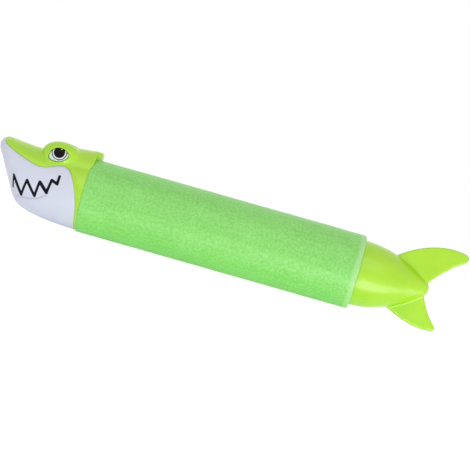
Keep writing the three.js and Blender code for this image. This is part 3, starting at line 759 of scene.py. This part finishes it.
def crest_form():
    """The crest, from behind the collar forward."""
    bm = bmesh.new()
    rings = []
    for k in range(CREST_RINGS + 1):
        share = k / CREST_RINGS
        tall = CREST_TOP - CREST_FALL * share - CREST_BASE
        height = tall * (1 - HEIGHT_LOSS * fade(share, start=0.5))
        width = CREST_WIDTH * (1 - WIDTH_LOSS * fade(share, start=0.4))
        middle = (COLLAR + OVERRUN - share * CREST_LENGTH, 0, AXIS + CREST_BASE)
        rings.append(ring_at(bm, middle, (0, width, 0), (0, 0, height)))
    return as_object(loft(bm, rings), "crest")


def long_ball(side, inset):
    """The ball of a brow, made smaller by an inset."""
    bm = bmesh.new()
    place = Matrix.Translation((COLLAR - BROW_FORWARD, side * BROW_ASIDE, AXIS + EYE_UP))
    size = Matrix.Diagonal((BROW_LONG - inset, BROW_ROUND - inset, BROW_ROUND - inset, 1))
    bmesh.ops.create_uvsphere(bm, u_segments=48, v_segments=32, radius=1, matrix=place @ size)
    return as_object(bm, "brow")


print("crest and brow forms ready")

# %% [markdown]
# The lids leave an almond open, slanted down to the nose and taller above than below. The block with this
# outline cuts the socket, and a slightly smaller one trims the eye that fills it, so one function makes both.

# %% Almond opening of the eye
EYE_LONG, EYE_TALL, EYE_LOW, EYE_SEAT = 7.4 * MM, 5.9 * MM, 3.7 * MM, 9.3 * MM
EYE_CORNERS_UP, EYE_SLANT = 21.9 * MM, math.radians(16.5)
ALMOND_POINTS, POINTEDNESS, ALMOND_DEPTH = 72, 0.25, 40 * MM


def eye_oval(side, margin):
    """A block with the almond outline of the eye, from the seat outwards."""
    corners = []
    for k in range(ALMOND_POINTS):
        turn = 2 * math.pi * k / ALMOND_POINTS
        lift = math.sin(turn)
        tall = EYE_TALL if lift > 0 else EYE_LOW
        aside = math.cos(turn) * (EYE_LONG + margin)
        point = Vector((aside, lift * abs(lift) ** POINTEDNESS * (tall + margin)))
        point.rotate(Matrix.Rotation(EYE_SLANT, 2))
        corners.append((COLLAR - EYE_FORWARD + point.x, AXIS + EYE_CORNERS_UP + point.y))
    return as_object(slab(corners, side * (EYE_SEAT - margin), side * ALMOND_DEPTH), "eye_oval")


print("eye opening", round(2 * EYE_LONG / MM, 1), "mm long")

# %% [markdown]
# A short tongue on the hood's rear edge reaches over the foam and keeps the sleeve in place. It is a box
# with its upper edges bevelled.

# %% Tongue over the foam
TONGUE_LOW, TONGUE_HIGH = Vector((-3, -6, 25.5)) * MM, Vector((4.1, 6, 33.0)) * MM
TONGUE_ROUND = 1.4 * MM
size = TONGUE_HIGH - TONGUE_LOW
middle = (TONGUE_HIGH + TONGUE_LOW) / 2 + Vector((COLLAR, 0, AXIS))
bm = bmesh.new()
bmesh.ops.create_cube(bm, size=1, matrix=Matrix.Translation(middle) @ Matrix.Diagonal((*size, 1)))
upper_edges = [e for e in bm.edges if (e.verts[0].co.z + e.verts[1].co.z) / 2 > middle.z - 0.1 * MM]
bmesh.ops.bevel(
    bm, geom=upper_edges, offset=TONGUE_ROUND, segments=4, profile=0.5, affect="EDGES", material=-1
)
tongue = as_object(bm, "tongue")
print("tongue", [round(c / MM, 1) for c in size], "mm")

# %% [markdown]
# The hood is a union of the head form, grown a little, with crest and brows. A first melt with coarse
# cells fills the creases between them, as the mould's fillets do. The edge line then cuts it, and a band
# along that edge leans in, so that the hood lies close to the face. The tongue is added, sockets and
# inside are cut, and a fine melt rounds the rims. Last, room for the foam is cut, and the slivers that
# this cut leaves are dissolved.

# %% Green hood
HOOD_PROUD = 0.65 * MM
BAND_WIDTH, BAND_DEPTH, BAND_MOST = 3.4 * MM, 0.7 * MM, 0.1
ROOM, ROOM_LENGTH, SLIVER = 0.1 * MM, 20 * MM, 0.02 * MM
hood = head_form(HOOD_PROUD, OVERRUN)
hood.name = "green_hood"
combine(hood, "UNION", crest_form(), long_ball(-1, 0), long_ball(1, 0))
melt(hood, grain=0.8 * MM, rounds=10)
combine(hood, "INTERSECT", hood_block(0, OVERRUN))
edge_tree = tree_of([Vector((COLLAR - p.x, 0, AXIS + p.y)) for p in smooth_run(HOOD_EDGE, steps=6)])
for vert in hood.data.vertices:
    away = edge_tree.find((vert.co.x, 0, vert.co.z))[2]
    dip = min(BAND_DEPTH * max(1 - away / BAND_WIDTH, 0), BAND_MOST * abs(vert.co.y))
    vert.co.y -= math.copysign(dip, vert.co.y)
combine(hood, "UNION", tongue)
combine(hood, "DIFFERENCE", eye_oval(-1, FIT), eye_oval(1, FIT), head_form(FIT - STEP_DEPTH, OVERRUN + MM))
melt(hood, grain=0.45 * MM, rounds=4)
foam_room = spun(wall_of(COLLAR, COLLAR + ROOM_LENGTH, 0.0, FOAM_RADIUS + ROOM), steps=128)
combine(hood, "DIFFERENCE", as_object(foam_room, "foam_room"))
bm = bmesh.new()
bm.from_mesh(hood.data)
bmesh.ops.dissolve_degenerate(bm, dist=SLIVER, edges=bm.edges)
bm.to_mesh(hood.data)
bm.free()
dress(hood, "barrel", "lime_plastic", lime, "hood_shell")

# %% [markdown]
# Each eye is the cap of a ball that lies just inside its brow, cut to the almond of the socket, so that it
# sits behind the lid all round. A ball alone would show its round edge through the gap.

# %% Eyes
EYE_INSET = 1.1 * MM
for side, name, node in ((-1, "left_eyeball", "left_eye"), (1, "right_eyeball", "right_eye")):
    eye = long_ball(side, EYE_INSET)
    eye.name = name
    combine(eye, "INTERSECT", eye_oval(side, 0))
    combine(eye, "DIFFERENCE", head_form(2 * FIT - STEP_DEPTH, MM))
    melt(eye, grain=0.35 * MM, rounds=2)
    dress(eye, "barrel", "eye_plastic", eye_print_and_glint, node)

# %% [markdown]
# The plunger's handle is the shark's tail. Its body is a spun profile: full at the front, where it
# carries on the sleeve's line, and drawn to a small blunt end. The real one swings up a little
# towards the fin, so each point is lifted by the square of its place along the body.

# %% Tail body
TAIL_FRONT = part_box("tail_left_shell")[0].x - 0.15 * MM
TAIL_LENGTH, TAIL_RADIUS, TAIL_LIFT = 54.2 * MM, 24.1 * MM, 1.7 * MM
body_line = bezier_run(
    Vector((0, 1)),
    (Vector((0.35, 1)), Vector((0.6, 0.74)), Vector((0.87, 0.335))),
    (Vector((0.95, 0.24)), Vector((1, 0.18)), Vector((1, 0))),
)
body_profile = [(TAIL_FRONT + p.x * TAIL_LENGTH, p.y * TAIL_RADIUS) for p in body_line[::4]]
bm = spun([(TAIL_FRONT, 0.0), *body_profile], steps=96, closed=False)
for vert in bm.verts:
    vert.co.z += TAIL_LIFT * ((vert.co.x - TAIL_FRONT) / TAIL_LENGTH) ** 2
tail = as_object(bm, "tail")
print("tail body faces", len(tail.data.polygons))

# %% [markdown]
# The fin has a long upper lobe and a shorter lower one. Its outline is a run of Bezier curves whose
# corners and handles are shares of each lobe's reach. It is pushed out to its thickness, thinned towards
# the tips and bevelled all round. Then it joins the body, and a light melt rounds the crease between them.

# %% Tail fin
FIN_THICK, FIN_THINNING, FIN_ROUND, FIN_POINTS = 6.0 * MM, 0.3, 1.5 * MM, 14
UPPER, LOWER = (76.3 * MM, 34.9 * MM), (66.2 * MM, 27.12 * MM)


def lobe(size, *points):
    """Places of the side view, from shares of a lobe's length and height."""
    return [Vector((TAIL_FRONT + along * size[0], AXIS + up * size[1])) for along, up in points]


upper = lobe(
    UPPER, (0.26, 0.3), (0.315, 0.54), (0.5, 0.88), (0.735, 1.063), (0.945, 0.98), (0.99, 0.96), (1.02, 0.89),
    (0.985, 0.8), (0.945, 0.71), (0.905, 0.69), (0.873, 0.62), (0.8, 0.465), (0.72, 0.295), (0.66, 0.1),
)
lower = lobe(
    LOWER, (0.78, -0.12), (0.84, -0.5), (0.99, -0.845), (1.02, -0.92), (0.985, -0.975), (0.95, -0.985),
    (0.77, -1.05), (0.58, -0.885), (0.4, -0.66), (0.3, -0.3),
)
fork = [upper[13], *lower[:3]]
runs = [upper[1:5], upper[4:8], upper[7:11], upper[10:14], fork, lower[2:6], lower[5:9]]
curved = [Vector(p) for run in runs for p in interpolate_bezier(*run, FIN_POINTS)[:-1]]
bm = slab([upper[0], *curved, lower[8], lower[9]], -FIN_THICK / 2, FIN_THICK)
for vert in bm.verts:
    vert.co.y *= 1 - FIN_THINNING * min(abs(vert.co.z - AXIS) / UPPER[1], 1)
bmesh.ops.recalc_face_normals(bm, faces=bm.faces)
rim = [e for e in bm.edges if len(e.link_faces) == 2 and any(len(f.verts) > 4 for f in e.link_faces)]
bmesh.ops.bevel(bm, geom=rim, offset=FIN_ROUND, segments=4, profile=0.5, affect="EDGES", material=-1)
combine(tail, "UNION", as_object(bm, "fin"))
melt(tail, grain=0.7 * MM, rounds=1)
print("tail faces", len(tail.data.polygons))

# %% [markdown]
# The tail is glued from a left and a right half, with a pocket between them for the rod and its plug. The
# pocket is a spun profile cut from the whole tail. Then a large block keeps one side, a hair away from
# the middle, and the melt rounds the cut, so that the seam shows as a fine line.

# %% Two tail halves round the rod's end
SEAM, REACH = 0.12 * MM, 200 * MM
rod_low, rod_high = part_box("plunger_rod")
plug_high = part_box("rod_end_plug")[1]
pocket = [
    (TAIL_FRONT - 2 * MM, 0.0),
    (TAIL_FRONT - 2 * MM, rod_high.y + FIT),
    (rod_high.x, rod_high.y + FIT),
    (rod_high.x, plug_high.y + FIT),
    (plug_high.x + FIT, plug_high.y + FIT),
    (plug_high.x + FIT, 0.0),
]
combine(tail, "DIFFERENCE", as_object(spun(pocket, steps=64), "pocket"))
whole = tail.data
bpy.data.objects.remove(tail)
HALVES = ((-1, "tail_left_half", "tail_left_shell"), (1, "tail_right_half", "tail_right_shell"))
for side, name, node in HALVES:
    half = bpy.data.objects.new(name, whole.copy())
    bpy.context.scene.collection.objects.link(half)
    bm = bmesh.new()
    place = Matrix.Translation((TAIL_FRONT, side * (SEAM + REACH / 2), AXIS))
    size = Matrix.Diagonal((2 * REACH, REACH, 2 * REACH, 1))
    bmesh.ops.create_cube(bm, size=1, matrix=place @ size)
    combine(half, "INTERSECT", as_object(bm, "half_space"))
    melt(half, grain=0.6 * MM, rounds=2)
    dress(half, "plunger", "lime_plastic", lime, node)
    print("lowest point", round(min(v.co.z for v in half.data.vertices) / MM, 2), "mm above the table")

# %% [markdown]
# The turned parts that show when the plunger is pulled are spun from their profiles with many steps and
# get small rounded rims: the rod, the guide that it slides in, and the nozzle in the mouth. Here the rims
# are clean edges, so a bevel is enough.

# %% Rod, guide and nozzle
ROD_WALL, SLIDE_FIT, TUBE_WALL, FLANGE = 1.4 * MM, 0.35 * MM, 1.8 * MM, 3 * MM
JET, NOZZLE_WALL, NOZZLE_FACE = 1.5 * MM, 1.2 * MM, 2.5 * MM


def round_rims(bm, width):
    """Bevels the sharp rims of a spun piece."""
    sharp = [e for e in bm.edges if len(e.link_faces) == 2 and e.calc_face_angle() > math.radians(35)]
    bmesh.ops.bevel(bm, geom=sharp, offset=width, segments=3, profile=0.5, affect="EDGES", material=-1)
    return bm


rod_profile = wall_of(rod_low.x, rod_high.x, rod_high.y - ROD_WALL, rod_high.y)
rod = as_object(round_rims(spun(rod_profile, steps=96, cuts=24), width=0.3 * MM), "white_rod")
dress(rod, "plunger", "tube_plastic", tube, "plunger_rod")

guide_low, guide_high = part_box("rear_guide")
hole, neck = rod_high.y + SLIDE_FIT, tube_high.y - TUBE_WALL
guide_profile = [
    (guide_low.x, hole),
    (guide_low.x, neck),
    (guide_high.x - FLANGE, neck),
    (guide_high.x - FLANGE, guide_high.y),
    (guide_high.x, guide_high.y),
    (guide_high.x, hole),
]
guide = as_object(round_rims(spun(guide_profile, steps=96), width=0.4 * MM), "white_guide")
dress(guide, "barrel", "tube_plastic", tube, "rear_guide")

bore = nozzle_high.y - NOZZLE_WALL
nozzle_profile = [
    (nozzle_low.x, JET),
    (nozzle_low.x, nozzle_high.y),
    (nozzle_high.x, nozzle_high.y),
    (nozzle_high.x, bore),
    (nozzle_low.x + NOZZLE_FACE, bore),
    (nozzle_low.x + NOZZLE_FACE, JET),
]
nozzle = as_object(round_rims(spun(nozzle_profile, steps=72), width=0.5 * MM), "white_nozzle")
dress(nozzle, "barrel", "tube_plastic", tube, "nozzle_tip")

# %% [markdown]
# The parts inside keep the frame's own shapes, because next to nothing of them shows. They still get the
# real finishes: white plastic, and black rubber for the two seals.

# %% Finishes of the inner parts
INNER = {
    "barrel_tube": tube,
    "barrel_front_cap": tube,
    "head_carrier": tube,
    "piston": tube,
    "rod_end_plug": tube,
    "front_seal_ring": rubber,
    "rear_seal_ring": rubber,
}
for name, material in INNER.items():
    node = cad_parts[name]
    node.data.materials.clear()
    node.data.materials.append(material)
print("inner parts", len(INNER))

# %% [markdown]
# The toy lies on a pale shooting table before a white background. The world is full white for the camera
# and in reflections, and weaker where it lights the scene, so that the colours stay deep. The table
# glows in the same way, which makes its paper white in the picture and keeps the shadow on it.

# %% Table and background
SKY_FILL, PAPER_GLOW = 0.64, 0.7
TABLE_HALF, TABLE_DROP = 6, 0.2 * MM
scene = bpy.context.scene
scene.view_settings.view_transform = "Standard"


def seen_directly(owner):
    """1 for rays from the camera, in reflections and through glass, 0 for light that fills the scene."""
    path = add_node(owner, "ShaderNodeLightPath")
    seen = path.outputs["Is Camera Ray"]
    for other in ("Is Glossy Ray", "Is Transmission Ray"):
        either = add_node(owner, "ShaderNodeMath", {0: seen, 1: path.outputs[other]})
        either.operation = "MAXIMUM"
        seen = either.outputs[0]
    return seen


world = bpy.data.worlds.new("soft_sky")
scene.world = world
world.use_nodes = True
sky = world.node_tree.nodes["Background"]
sky.inputs["Color"].default_value = (1, 1, 1, 1)
join(world, range_of(world, seen_directly(world), To_Min=SKY_FILL, To_Max=1.0), sky, "Strength")

bm = bmesh.new()
bmesh.ops.create_grid(bm, x_segments=1, y_segments=1, size=TABLE_HALF)
bmesh.ops.translate(bm, verts=bm.verts, vec=(0, 0, -TABLE_DROP))
table = as_object(bm, "table")
table.visible_shadow = False
paper, paper_shader = new_finish("table_paper", Roughness=0.9, Base_Color=(0.8, 0.8, 0.8, 1))
glow = add_node(paper, "ShaderNodeEmission", Color=(1, 1, 1, 1))
join(paper, range_of(paper, seen_directly(paper), To_Max=PAPER_GLOW), glow, "Strength")
both = add_node(paper, "ShaderNodeAddShader", {0: paper_shader.outputs[0], 1: glow.outputs[0]})
join(paper, both.outputs[0], paper.node_tree.nodes["Material Output"], "Surface")
table.data.materials.append(paper)
print("table at", round(-TABLE_DROP / MM, 1), "mm")

# %% [markdown]
# The light is plain and soft, and comes from low in front. Two softboxes below the level of the table draw
# the long highlight on the underside of sleeve and tail, so the table must cast no shadow. Cycles samples
# them in one way only, which keeps stray bright pixels away. Two large panels above fill in, and the rear
# one stays out of reflections, because it would whiten the upper edges.

# %% Lamps
TOY, LOW_AIM = (0, 0, 0.03), (0.1, 0, 0.03)


def soft_lamp(name, place, aim, width, height, power):
    """A rectangular area lamp at a place, turned to what it is aimed at."""
    lamp = bpy.data.lights.new(name, "AREA")
    lamp.shape = "RECTANGLE"
    lamp.size, lamp.size_y = width, height
    lamp.energy = power
    thing = bpy.data.objects.new(name, lamp)
    thing.location = place
    thing.rotation_euler = (Vector(aim) - Vector(place)).to_track_quat("-Z", "Y").to_euler()
    scene.collection.objects.link(thing)
    return thing


low_softbox = soft_lamp("low_softbox", (0.5, -0.98, -0.72), LOW_AIM, width=1.2, height=0.7, power=6.7)
side_softbox = soft_lamp("side_softbox", (1.52, -0.56, -0.72), LOW_AIM, width=1.0, height=0.7, power=2.1)
for softbox in (low_softbox, side_softbox):
    softbox.data.cycles.use_multiple_importance_sampling = False
soft_lamp("front_panel", (0.0, -1.6, 1.4), TOY, width=2.4, height=1.6, power=7)
rear_panel = soft_lamp("rear_panel", (0.0, 1.5, 1.5), TOY, width=2.4, height=1.6, power=5)
rear_panel.visible_glossy = False
print("lamps", len(bpy.data.lights))

# %% [markdown]
# The camera looks at the toy almost square from its left side, through a long lens that flattens the
# view, and is rolled so that the shark rises to one corner. Its three axes are built as vectors: first level,
# then turned about the view by the roll. That is easier to follow than three mixed Euler angles.

# %% Camera
TARGET, DISTANCE = Vector((0.0101, 0, 0.0289)), 1.0787
YAW, PITCH, ROLL = math.radians(1.95), math.radians(1.0), math.radians(15.8)
LENS, SENSOR = 113.7, 36
back = Vector((math.sin(YAW) * math.cos(PITCH), -math.cos(YAW) * math.cos(PITCH), math.sin(PITCH)))
level_right = Vector((0, 0, 1)).cross(back).normalized()
level_up = back.cross(level_right)
right = math.cos(ROLL) * level_right + math.sin(ROLL) * level_up
up = math.cos(ROLL) * level_up - math.sin(ROLL) * level_right
camera = bpy.data.objects.new("camera", bpy.data.cameras.new("camera"))
camera.data.lens = LENS
camera.data.sensor_width = SENSOR
turn = Matrix((right, up, back)).transposed().to_4x4()
camera.matrix_world = Matrix.Translation(TARGET + back * DISTANCE) @ turn
scene.collection.objects.link(camera)
scene.camera = camera
print("camera at", [round(c, 3) for c in camera.location])
